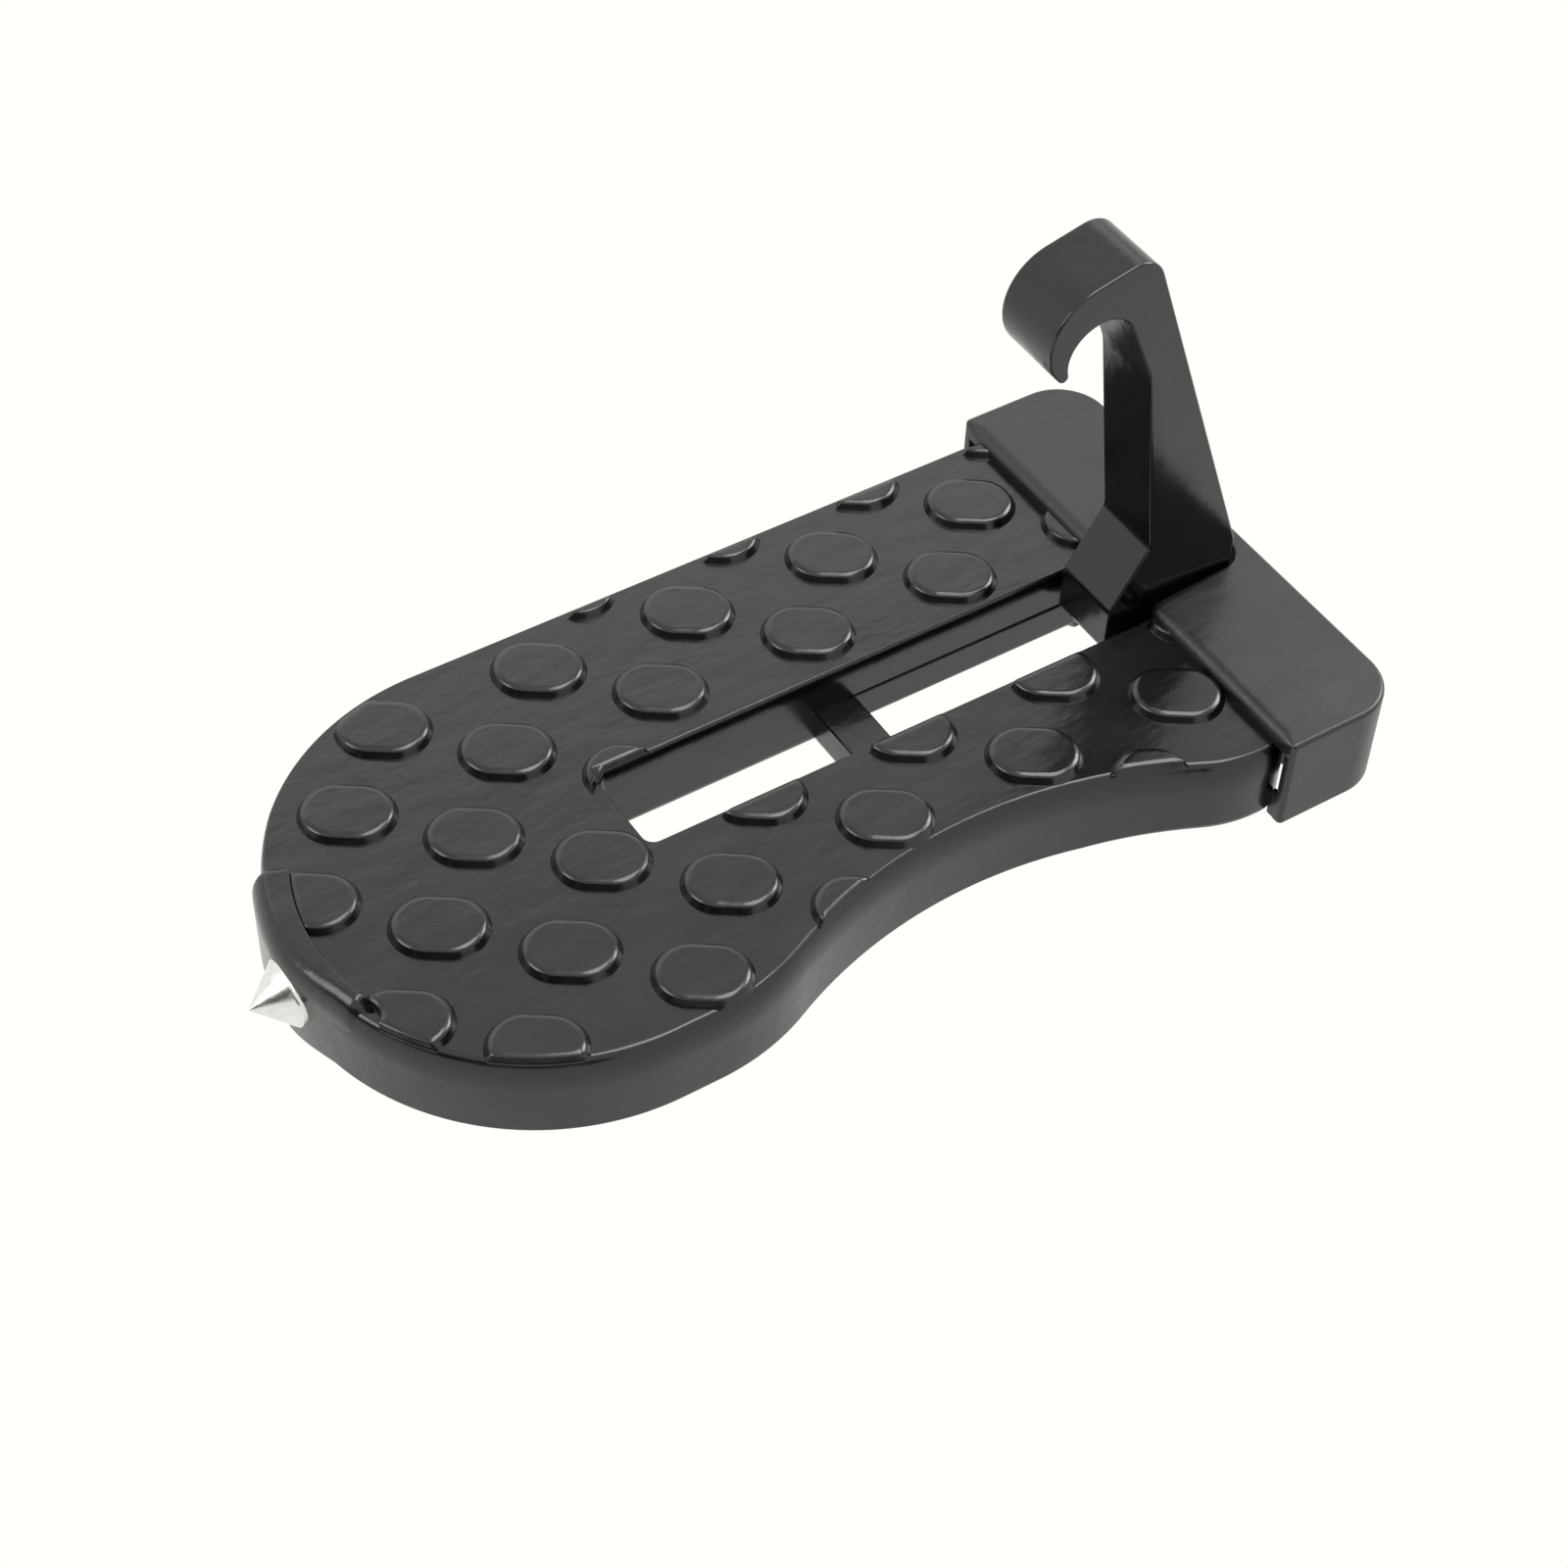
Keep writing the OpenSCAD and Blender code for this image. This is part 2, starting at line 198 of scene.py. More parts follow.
# Hook in side view, as X, Z and radius: the corners, the pin's hub, the throat and the curl
HOOK_HALF = 5.6
HOOK_EDGE_R = 0.35
PIN = (106.2, 6.2)
HUB_R = 5.8
TOE = (89.8, 8.7, 1.3)
HEEL = (90.0, 16.1, 2.2)
KNEE = (96.076, 26.0, 2.5)
NECK = (91.545, 58.9, 9.0)
THROAT = (82.391, 67.0, 5.3)
CURL = (82.091, 70.3, 8.2)
BACK = (112.0, 20.5, 4.0)
# Slopes of the back, the crown and the arm's inner side, and the rounded tip of the curl
BACK_LEAN = 20.2
CROWN_RISE = 13.5
CROWN_R = 4.6
INNER_LEAN = 22.8
CURL_END = -139.2
CURL_END_R = 0.8


def unit(x, y):
    """The same direction with a length of one."""
    size = math.hypot(x, y)
    return x / size, y / size


def arc(cx, cy, r, start, end, step=3.0, soft=(0.3, 0.3)):
    """Points (x, y, nx, ny, soft) along an arc in degrees; a clockwise arc is a hollow.

    The soft pair is the rounding of the lower and the upper edge there.
    """
    count = max(2, math.ceil(abs(end - start) / step))
    side = 1.0 if end > start else -1.0
    points = []
    for i in range(count + 1):
        a = math.radians(start + (end - start) * i / count)
        x, y = cx + r * math.cos(a), cy + r * math.sin(a)
        points.append((x, y, side * math.cos(a), side * math.sin(a), soft))
    return points


def outline(*items, step=9.0, soft=(0.3, 0.3)):
    """Closed counterclockwise path of arcs' points and corners (x, y, radius[, soft])."""
    ends = [(i[0][:2], i[-1][:2]) if isinstance(i, list) else (i[:2], i[:2]) for i in items]
    path = []
    for k, item in enumerate(items):
        if isinstance(item, list):
            path += item
            continue
        x, y, r, *own = item
        edges = own[0] if own else soft
        ax, ay = unit(x - ends[k - 1][1][0], y - ends[k - 1][1][1])
        if r == 0:
            path.append((x, y, ay, -ax, edges))
            continue
        after = ends[(k + 1) % len(items)][0]
        bx, by = unit(after[0] - x, after[1] - y)
        turn = math.atan2(ax * by - ay * bx, ax * bx + ay * by)
        side = 1.0 if turn > 0 else -1.0
        back = r * math.tan(abs(turn) / 2)
        sx, sy = x - ax * back, y - ay * back
        cx, cy = sx - ay * r * side, sy + ax * r * side
        start = math.degrees(math.atan2(sy - cy, sx - cx))
        path += arc(cx, cy, r, start, start + math.degrees(turn), step, edges)
    return path


class Shell:
    """One mesh made of rings of points whose normals are known."""

    def __init__(self, upright=True):
        self.upright = upright
        self.points = []
        self.normals = []
        self.faces = []

    def add(self, u, v, h, nu, nv, nh):
        """A point in the path's plane at a height, which is along Z if upright and else along Y."""
        point = (u, v, h) if self.upright else (u, h, v)
        normal = (nu, nv, nh) if self.upright else (nu, nh, nv)
        self.points.append(((point[0] - ORIGIN_X) * MM, point[1] * MM, point[2] * MM))
        self.normals.append(normal)
        return len(self.points) - 1

    def ring(self, path, level, angle, upper, tall):
        """A ring on the rounding of an edge; an upper rounding can be taller than it is wide."""
        c, s = math.cos(math.radians(angle)), math.sin(math.radians(angle))
        drop = (1 - s) * tall if upper else -1 - s
        flat, rise = unit(c * tall, s) if upper else (c, s)
        ring = []
        for x, y, nx, ny, soft in path:
            r = soft[1 if upper else 0]
            inset = r * (1 - c)
            point = x - inset * nx, y - inset * ny, level - r * drop
            ring.append(self.add(*point, nx * flat, ny * flat, rise))
        return ring

    def face(self, corners):
        """A face whose corners run counterclockwise as seen from outside."""
        self.faces.append(tuple(corners) if self.upright else tuple(reversed(corners)))

    def bridge(self, low, high):
        """The band of faces between two rings."""
        for i in range(len(low)):
            j = (i + 1) % len(low)
            self.face((low[i], low[j], high[j], high[i]))

    def cap(self, ring, up=True):
        """Fills the area inside a ring, which can be hollow in places."""
        across = 1 if self.upright else 2
        coords = [Vector((self.points[i][0] / MM, self.points[i][across] / MM)) for i in ring]
        edges = [(n, (n + 1) % len(ring)) for n in range(len(ring))]
        verts, _, tris, origin, _, _ = delaunay_2d_cdt(coords, edges, [], 0, 1e-5)
        start = np.array(coords)
        end = np.roll(start, -1, axis=0)
        for tri in tris:
            middle = sum((verts[i] for i in tri), Vector((0.0, 0.0))) / 3
            crosses = (start[:, 1] > middle[1]) != (end[:, 1] > middle[1])
            s, e = start[crosses], end[crosses]
            x = s[:, 0] + (middle[1] - s[:, 1]) * (e[:, 0] - s[:, 0]) / (e[:, 1] - s[:, 1])
            if np.count_nonzero(x > middle[0]) % 2 and all(origin[i] for i in tri):
                corners = [ring[origin[i][0]] for i in tri]
                self.face(corners if up else corners[::-1])

    def slab(self, path, low, high, caps=(True, True), steps=4, tall=1.0):
        """A plate with rounded edges between two heights."""
        rings = [self.ring(path, low, -90 + 90 * i / steps, False, tall) for i in range(steps + 1)]
        rings += [self.ring(path, high, 90 * i / steps, True, tall) for i in range(steps + 1)]
        for a, b in zip(rings, rings[1:]):
            self.bridge(a, b)
        if caps[0]:
            self.cap(rings[0], up=False)
        if caps[1]:
            self.cap(rings[-1])

    def build(self, name, material, body, node):
        """The finished piece, which rides on a body in place of a node."""
        mesh = bpy.data.meshes.new(name)
        mesh.from_pydata(self.points, [], self.faces)
        mesh.polygons.foreach_set("use_smooth", [True] * len(mesh.polygons))
        mesh.normals_split_custom_set_from_vertices(self.normals)
        mesh.materials.append(material)
        obj = bpy.data.objects.new(name, mesh)
        bpy.context.scene.collection.objects.link(obj)
        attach(obj, body)
        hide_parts(node)


# Materials

COAT_IOR = 1.56
# Darkest and lightest tone
COAT_TONES = (0.0015, 0.0015, 0.0014), (0.003, 0.0029, 0.0027)
RUBBER_TONES = (0.004, 0.004, 0.0045), (0.007, 0.007, 0.008)


def new_material(name):
    """A material with its node tree and its shader."""
    mat = bpy.data.materials.new(name)
    mat.use_nodes = True
    tree = mat.node_tree
    shader = tree.nodes["Principled BSDF"]
    return mat, tree, shader


def noise(tree, coords, scale, detail, rough=0.5, stretch=(1, 1, 1)):
    """Value of a noise that can be squeezed along the axes."""
    mapping = tree.nodes.new("ShaderNodeMapping")
    mapping.inputs["Scale"].default_value = stretch
    tree.links.new(coords, mapping.inputs["Vector"])
    node = tree.nodes.new("ShaderNodeTexNoise")
    node.inputs["Scale"].default_value = scale
    node.inputs["Detail"].default_value = detail
    node.inputs["Roughness"].default_value = rough
    tree.links.new(mapping.outputs["Vector"], node.inputs["Vector"])
    return node.outputs["Fac"]


def ramp(tree, fac, low, high, from_low=0.3, from_high=0.7):
    """A value stretched from one range to another; the default range suits a noise."""
    node = tree.nodes.new("ShaderNodeMapRange")
    node.inputs["From Min"].default_value = from_low
    node.inputs["From Max"].default_value = from_high
    node.inputs["To Min"].default_value = low
    node.inputs["To Max"].default_value = high
    tree.links.new(fac, node.inputs["Value"])
    return node.outputs["Result"]


def mix_colour(tree, fac, a, b):
    """A colour between two others."""
    node = tree.nodes.new("ShaderNodeMix")
    node.data_type = "RGBA"
    node.inputs["A"].default_value = (*a, 1)
    node.inputs["B"].default_value = (*b, 1)
    tree.links.new(fac, node.inputs["Factor"])
    return node.outputs["Result"]


def coated(name, tones, rough, grain, wavy):
    """A sprayed or moulded surface with faint clouds, a slightly wavy skin and uneven gloss."""
    mat, tree, shader = new_material(name)
    coords = tree.nodes.new("ShaderNodeTexCoord").outputs["Object"]
    clouds = noise(tree, coords, scale=60.0, detail=4.0, rough=0.6, stretch=(1.0, 2.2, 1.0))
    colour = mix_colour(tree, ramp(tree, clouds, 0.0, 1.0), *tones)
    tree.links.new(colour, shader.inputs["Base Color"])
    tree.links.new(ramp(tree, clouds, *rough), shader.inputs["Roughness"])
    shader.inputs["IOR"].default_value = COAT_IOR
    bump = tree.nodes.new("ShaderNodeBump")
    bump.inputs["Strength"].default_value = grain
    bump.inputs["Distance"].default_value = 0.0001
    tree.links.new(noise(tree, coords, scale=2600.0, detail=2.0), bump.inputs["Height"])
    waves = tree.nodes.new("ShaderNodeBump")
    waves.inputs["Strength"].default_value = 1.0
    waves.inputs["Distance"].default_value = wavy
    swell = noise(tree, coords, scale=130.0, detail=3.0, stretch=(1.0, 2.0, 1.0))
    tree.links.new(swell, waves.inputs["Height"])
    tree.links.new(bump.outputs["Normal"], waves.inputs["Normal"])
    tree.links.new(waves.outputs["Normal"], shader.inputs["Normal"])
    return mat


def steel(name, tone, rough):
    """Bare metal with faint marks along X."""
    mat, tree, shader = new_material(name)
    coords = tree.nodes.new("ShaderNodeTexCoord").outputs["Object"]
    marks = noise(tree, coords, scale=900.0, detail=3.0, rough=0.6, stretch=(0.15, 1.0, 1.0))
    dark = [t * 0.85 for t in tone]
    colour = mix_colour(tree, ramp(tree, marks, 0.0, 1.0), dark, tone)
    tree.links.new(colour, shader.inputs["Base Color"])
    shader.inputs["Metallic"].default_value = 1.0
    tree.links.new(ramp(tree, marks, rough * 0.8, rough * 1.4), shader.inputs["Roughness"])
    return mat


plate_coat = coated("plate coat", COAT_TONES, rough=(0.17, 0.26), grain=0.06, wavy=0.00014)
hook_coat = coated("hook coat", COAT_TONES, rough=(0.15, 0.22), grain=0.04, wavy=0.0001)
rubber = coated("bumper rubber", RUBBER_TONES, rough=(0.32, 0.42), grain=0.15, wavy=0.00015)
tip_steel = steel("tip steel", tone=(0.84, 0.84, 0.82), rough=0.2)
fixing_steel = steel("fixing steel", tone=(0.55, 0.55, 0.56), rough=0.3)

# Foot plate


def share(value, start, end):
    """How far a value has come from the start to the end, between 0 and 1."""
    return min(max((value - start) / (end - start), 0.0), 1.0)


def plate_soft(x, y):
    """Rounding of the plate's lower and upper edges at a point of its outline."""
    if abs(y) < SLOT_HALF + MATCH and SLOT_START - MATCH < x < TONGUE_X:
        far = share(y, *SLOT_FAR_EDGE_Y)
        return SLOT_LOW_EDGE_R, SLOT_EDGE_R + (SLOT_FAR_EDGE_R - SLOT_EDGE_R) * far
    if x > CORNER_X + CORNER_R - MATCH:
        return LOW_EDGE_R, LOW_EDGE_R
    far = share(y, *FAR_EDGE_Y)
    flare = share(x, *FLARE_EDGE_X) if y < FLARE_SIDE_Y else 0.0
    return LOW_EDGE_R + FLARE_EDGE_GAIN * flare, EDGE_R + (FAR_EDGE_R - EDGE_R) * far


def plate_path():
    """Outline of the plate with the slot open at the bumper's end.

    Two close points on each side end the rounding of the slot's edges under the bumper.
    """
    sx, sy, sr = SHOULDER
    wx, wy, wr = WAIST
    gx, gy, gr = FLARE
    end_x = CORNER_X + CORNER_R
    outer = (
        arc(CORNER_X, END_R - CORNER_R, CORNER_R, 0, 90, 9.0)
        + arc(0, 0, END_R, 90, 270, 2.0)
        + arc(sx, sy, sr, 270, 360 - SHOULDER_TURN, 2.0)
        + arc(wx, wy, wr, 180 - SHOULDER_TURN, FLARE_TURN, 1.5)[1:]
        + arc(gx, gy, gr, 180 + FLARE_TURN, 270, 3.0)[1:]
        + arc(CORNER_X, CORNER_R - END_R, CORNER_R, 270, 360, 9.0)
    )
    path = outline(
        outer,
        (end_x, -SLOT_HALF, SLOT_MOUTH_R),
        (TONGUE_X + SLOT_EDGE_STOP, -SLOT_HALF, 0),
        (TONGUE_X - SLOT_EDGE_STOP, -SLOT_HALF, 0),
        (SLOT_START, -SLOT_HALF, SLOT_CORNER_R),
        (SLOT_START, SLOT_HALF, SLOT_CORNER_R),
        (TONGUE_X - SLOT_EDGE_STOP, SLOT_HALF, 0),
        (TONGUE_X + SLOT_EDGE_STOP, SLOT_HALF, 0),
        (end_x, SLOT_HALF, SLOT_MOUTH_R),
    )
    return [(x, y, nx, ny, plate_soft(x, y)) for x, y, nx, ny, _ in path]


def plate_gap(x, y):
    """Signed distance to the plate's outline, below zero inside it."""
    sx, sy, sr = SHOULDER
    wx, wy, wr = WAIST
    gx, gy, gr = FLARE
    if x <= 0:
        return math.hypot(x, y) - END_R
    near = -y - END_R
    if sx < x < gx:
        at = math.degrees(math.atan2(y - wy, x - wx))
        if FLARE_TURN <= at <= 180 - SHOULDER_TURN:
            near = wr - math.hypot(x - wx, y - wy)
        elif y < 0 and at < FLARE_TURN:
            near = math.hypot(x - gx, y - gy) - gr
        elif y < 0:
            near = math.hypot(x - sx, y - sy) - sr
    return max(near, y - END_R)


def slot_gap(x, y):
    """Distance inside the slot and its border, above zero where a stud is cut away."""
    dx = SLOT_START - SLOT_FAR_BORDER - x
    dy = abs(y) - SLOT_HALF - (SLOT_BORDER if y < 0 else SLOT_FAR_BORDER)
    if dx > 0 and dy > 0:
        return -math.hypot(dx, dy)
    return -max(dx, dy)


def blend_max(a, b, k=0.3):
    """The larger value, with the corner between the two rounded."""
    h = max(k - abs(a - b), 0.0) / k
    return max(a, b) + h * h * k / 4


def rim_gap(x, y):
    """Distance inside the rim and the gaps at its ends, above zero where a stud is cut away."""
    r = math.hypot(x, y)
    a = math.degrees(math.atan2(y, x)) % 360
    inside = r - rim_inner(a)
    along = min(a - RIM_GAP[0], RIM_GAP[1] - a) * math.radians(r)
    return RIM_GAP_R - math.hypot(max(RIM_GAP_R - inside, 0.0), max(RIM_GAP_R - along, 0.0))


def stud_gap(cx, cy, half_run):
    """Signed distance function of one stud, cut by the borders."""
    c, s = math.cos(math.radians(STUD_TURN)), math.sin(math.radians(STUD_TURN))

    def gap(x, y, grow=0.0):
        u = (x - cx) * c + (y - cy) * s
        v = -(x - cx) * s + (y - cy) * c
        oval = math.hypot(max(abs(u) - half_run, 0.0), v) - STUD_HALF_W - grow
        border = FAR_BORDER if y > FAR_BORDER_Y else TREAD_BORDER
        under = x - FRONT_X - TREAD_UNDER
        return blend_max(oval, max(plate_gap(x, y) + border, slot_gap(x, y), under, rim_gap(x, y)))

    return gap


def reach(gap, cx, cy, a, grow):
    """Distance from the centre to a ring of the stud in one direction, by halving."""
    low, high = 0.0, STUD_REACH
    for _ in range(16):
        mid = (low + high) / 2
        if gap(cx + mid * math.cos(a), cy + mid * math.sin(a), max(grow, 0.0)) < min(grow, 0.0):
            low = mid
        else:
            high = mid
    return low


def add_stud(shell, cx, cy, half_run):
    """One stud as rings from below the plate's top to its own top, around its deepest point."""
    gap = stud_gap(cx, cy, half_run)
    # The deepest point on a grid of half millimetres
    steps = [0.5 * i for i in range(-12, 13)]
    deep, mx, my = min((gap(cx + i, cy + j), cx + i, cy + j) for i in steps for j in steps)
    if deep > -LEAST_DEPTH:
        return
    # The rounding of the top gets narrower on a stud that is cut to a thin piece
    shrink = min(1.0, 0.6 * deep / STUD_PROFILE[-1][0])
    e = 0.02
    rings = []
    for grow, height, tilt in STUD_PROFILE:
        grow = grow if grow > 0 else grow * shrink
        g = max(grow, 0.0)
        c, s = math.cos(math.radians(tilt)), math.sin(math.radians(tilt))
        ring = []
        for i in range(STUD_POINTS):
            a = 2 * math.pi * i / STUD_POINTS
            r = reach(gap, mx, my, a, grow)
            x, y = mx + r * math.cos(a), my + r * math.sin(a)
            nx, ny = unit(gap(x + e, y, g) - gap(x - e, y, g), gap(x, y + e, g) - gap(x, y - e, g))
            ring.append(shell.add(x, y, TOP_Z + height, nx * c, ny * c, s))
        rings.append(ring)
    for a, b in zip(rings, rings[1:]):
        shell.bridge(a, b)
    shell.cap(rings[-1])


def add_tread(shell):
    """All studs, row by row."""
    c, s = math.cos(math.radians(ROW_TURN)), math.sin(math.radians(ROW_TURN))
    tc, ts = math.cos(math.radians(STUD_TURN)), math.sin(math.radians(STUD_TURN))
    for row, first, last in RUNS:
        place = first
        while place <= last:
            u, v = place * STUD_PITCH + row * ROW_SHIFT, -row * ROW_PITCH
            x, y = FIRST_STUD[0] + u * c - v * s, FIRST_STUD[1] + u * s + v * c
            half_run = STUD_HALF_RUN
            if (row, place) in SHORT_STUDS:
                half_run = SHORT_HALF_RUN
                x -= (STUD_HALF_RUN - SHORT_HALF_RUN) * tc
                y -= (STUD_HALF_RUN - SHORT_HALF_RUN) * ts
            add_stud(shell, x, y, half_run)
            place += 1


def rim_inner(angle):
    """Inner radius of the rim, which gets narrower towards its near end."""
    return RIM_IN_R + (RIM_IN_TO_R - RIM_IN_R) * (angle - RIM_FROM) / (RIM_TO - RIM_FROM)


def rim_section(angle, inset, drop):
    """Section of the rim at an angle, as radius, height and normal, shrunk by an inset."""
    t = 1 - share(angle, *RIM_FADE)
    out = END_R - RIM_SUNK + RIM_OUT * t * t * (3 - 2 * t) - inset
    top = RIM_TOP - drop
    inner = rim_inner(angle) + inset
    small = RIM_EDGE_R
    section = [(inner, TOP_Z - RIM_DEPTH, -1.0, 0.0)]
    for c, s in quarter(0, 90, 4):
        section.append((inner + small - small * c, top - small + small * s, -c, s))
    wide = RIM_EDGE_WIDE - inset
    for c, s in quarter(90, 0, 10):
        nr, nz = unit(c * RIM_EDGE_TALL, s * wide)
        section.append((out - wide + wide * c, top - RIM_EDGE_TALL + RIM_EDGE_TALL * s, nr, nz))
    for c, s in quarter(0, -90, 3):
        section.append((out - small + small * c, HAIR + small + small * s, c, s))
    return section


def quarter(start, end, steps):
    """Cosine and sine of evenly spaced angles."""
    angles = [math.radians(start + (end - start) * i / steps) for i in range(steps + 1)]
    return [(math.cos(a), math.sin(a)) for a in angles]


def rim_stations():
    """Places along the rim: angle, inset and drop of its section, and lean of its normals."""
    far = math.degrees(RIM_END_R / END_R)
    near = math.degrees(RIM_RAMP / END_R)
    stations = []
    for c, s in quarter(90, 0, 5):
        stations.append((RIM_FROM + far * (1 - s), RIM_END_R * (1 - c), RIM_END_DROP * (1 - c), s))
    count = 26
    turn = (RIM_TO - near - RIM_FROM - far) / count
    stations += [(RIM_FROM + far + turn * i, 0.0, 0.0, 0.0) for i in range(1, count)]
    count = 8
    for i in range(count + 1):
        t = i / count
        inset = RIM_RAMP_INSET * (1 - math.sqrt(1 - t * t))
        stations.append((RIM_TO - near * (1 - t), inset, RIM_RAMP_DROP * t, -min(0.88, 4 * t)))
    return stations


def add_rim(shell):
    """Thickened rim around the tip, with a short round far end and a sloping near end."""
    rings = []
    for angle, inset, drop, lean in rim_stations():
        a = math.radians(angle)
        ring = []
        for radius, z, nr, nz in rim_section(angle, inset, drop):
            slope = lean if lean > 0 else lean * max(nz, 0.0)
            flat = math.sqrt(1 - slope * slope)
            nx = nr * flat * math.cos(a) + slope * math.sin(a)
            ny = nr * flat * math.sin(a) - slope * math.cos(a)
            ring.append(shell.add(radius * math.cos(a), radius * math.sin(a), z, nx, ny, nz * flat))
        rings.append(ring)
    for a, b in zip(rings, rings[1:]):
        for i in range(len(a) - 1):
            shell.face((a[i], a[i + 1], b[i + 1], b[i]))
    shell.face(rings[0][::-1])
    shell.face(rings[-1])


def block(x0, x1, y0, y1, r=0.3, soft=(0.3, 0.3)):
    """Rectangle with rounded corners."""
    return outline((x0, y0, r), (x1, y0, r), (x1, y1, r), (x0, y1, r), soft=soft)


def build_plate():
    """The casting, as overlapping shells in one mesh."""
    shell = Shell()
    shell.slab(plate_path(), 0.0, TOP_Z, steps=9, tall=EDGE_TALL)
    add_tread(shell)
    add_rim(shell)
    # Crossbar, the ledges behind it, and the tongue inside the bumper
    reach_y = SLOT_HALF + BURIED
    shell.slab(block(*BAR_X, -reach_y, reach_y, r=2.0, soft=(1.9, 0.4)), HAIR, BAR_Z)
    for side in (-1, 1):
        low, high = sorted((side * (SLOT_HALF - LEDGE), side * reach_y))
        ledge = block(BAR_X[1] - 2, SLOT_END, low, high, r=1.2, soft=(1.1, 0.12))
        shell.slab(ledge, 1.0, BAR_Z)
        low, high = sorted((side * SLOT_HALF, side * TONGUE_HALF))
        shell.slab(block(TONGUE_X, TONGUE_END, low, high), TONGUE_Z, TOP_Z - HAIR)
    shell.slab(block(SLOT_END, TONGUE_END, -SLOT_HALF - 1, SLOT_HALF + 1), TONGUE_Z, TOP_Z - HAIR)
    shell.build("foot_plate_casting", plate_coat, "step", "foot_plate")


def hook_path():
    """Side profile of the hook in X and Z."""
    soft = (HOOK_EDGE_R, HOOK_EDGE_R)
    lx = CURL[0] + (CURL[2] - CURL_END_R) * math.cos(math.radians(CURL_END))
    lz = CURL[1] + (CURL[2] - CURL_END_R) * math.sin(math.radians(CURL_END))
    to_throat = math.degrees(math.atan2(THROAT[1] - lz, THROAT[0] - lx))
    return outline(
        TOE,
        arc(*PIN, HUB_R, hub_tangent(TOE), 360, 6.0, soft),
        BACK,
        arc(*crown_centre(), CROWN_R, BACK_LEAN, 90 + CROWN_RISE, 6.0, soft),
        arc(*CURL, 90 + CROWN_RISE, 360 + CURL_END, 3.0, soft),
        arc(lx, lz, CURL_END_R, CURL_END, to_throat, 15.0, soft),
        arc(*THROAT, to_throat + 180, INNER_LEAN, 4.0, soft),
        NECK,
        KNEE,
        HEEL,
        soft=soft,
    )


def crown_centre():
    """Centre of the rounded crown, tangent to the back and to the top edge."""
    a, b = math.radians(BACK_LEAN), math.radians(CROWN_RISE)
    back = BACK[0] * math.cos(a) + BACK[1] * math.sin(a) - CROWN_R
    top = CURL[1] * math.cos(b) - CURL[0] * math.sin(b) + CURL[2] - CROWN_R
    det = math.cos(a - b)
    x = (back * math.cos(b) - top * math.sin(a)) / det
    z = (top * math.cos(a) + back * math.sin(b)) / det
    return x, z


def hub_tangent(point):
    """Angle on the hub at which a line from the point touches it."""
    dx, dz = point[0] - PIN[0], point[1] - PIN[1]
    towards = math.degrees(math.atan2(dz, dx)) % 360
    return towards + math.degrees(math.acos(HUB_R / math.hypot(dx, dz)))


def build_hook():
    """The hook, as a flat plate standing on its edge."""
    shell = Shell(upright=False)
    shell.slab(hook_path(), -HOOK_HALF, HOOK_HALF)
    shell.build("folding_hook_arm", hook_coat, "folding_hook", "hook")


def build_bumper():
    """A roof over the plate's end, and a skirt below it with the notch and the pocket."""
    shell = Shell()
    notch_x = TONGUE_END - 0.2
    back = (BUMPER_BACK, -BUMPER_HALF, BUMPER_BACK_R), (BUMPER_BACK, BUMPER_HALF, BUMPER_BACK_R)
    notch = (notch_x, NOTCH_HALF, NOTCH_R), (notch_x, -NOTCH_HALF, NOTCH_R)
    pad = (0.0, PAD_EDGE_R)
    roof = outline(
        (FRONT_X, -BUMPER_HALF, LEG_R),
        *back,
        (FRONT_X, BUMPER_HALF, LEG_R),
        (FRONT_X, BUMPER_HALF - 3, 0, pad),
        (FRONT_X, NOTCH_HALF, NOTCH_MOUTH_R, pad),
        *notch,
        (FRONT_X, -NOTCH_HALF, NOTCH_MOUTH_R, pad),
        (FRONT_X, 3 - BUMPER_HALF, 0, pad),
        step=6.0,
        soft=(0.0, BUMPER_EDGE_R),
    )
    shell.slab(roof, TOP_Z, BUMPER_TOP)
    inner_x = FRONT_X + POCKET_DEPTH
    deep_x = FRONT_X + POCKET_LEG_DEPTH
    tongue_y = TONGUE_HALF + TONGUE_GAP
    skirt = outline(
        (FRONT_X, -BUMPER_HALF, LEG_R),
        *back,
        (FRONT_X, BUMPER_HALF, LEG_R),
        (FRONT_X, POCKET_HALF, POCKET_MOUTH_R),
        (deep_x, POCKET_HALF, POCKET_LEG_R),
        (deep_x, tongue_y, POCKET_LEG_R),
        (inner_x, tongue_y, POCKET_R),
        (inner_x, NOTCH_HALF, POCKET_R),
        *notch,
        (inner_x, -NOTCH_HALF, POCKET_R),
        (inner_x, -tongue_y, POCKET_R),
        (deep_x, -tongue_y, POCKET_LEG_R),
        (deep_x, -POCKET_HALF, POCKET_LEG_R),
        (FRONT_X, -POCKET_HALF, POCKET_MOUTH_R),
        step=6.0,
        soft=(BUMPER_LOW_EDGE_R, 0.0),
    )
    shell.slab(skirt, 0.0, TOP_Z, (True, False))
    # Low lips that close the corners between the plate and the legs
    for side in (-1, 1):
        low, high = sorted((side * (END_R - 0.4), side * (POCKET_HALF + 1)))
        lip = block(FRONT_X + 0.1, FRONT_X + 1.2, low, high, soft=(0.2, 0.4))
        shell.slab(lip, 0.05, LIP_TOP)
    shell.build("rubber_end_bumper", rubber, "step", "end_bumper")


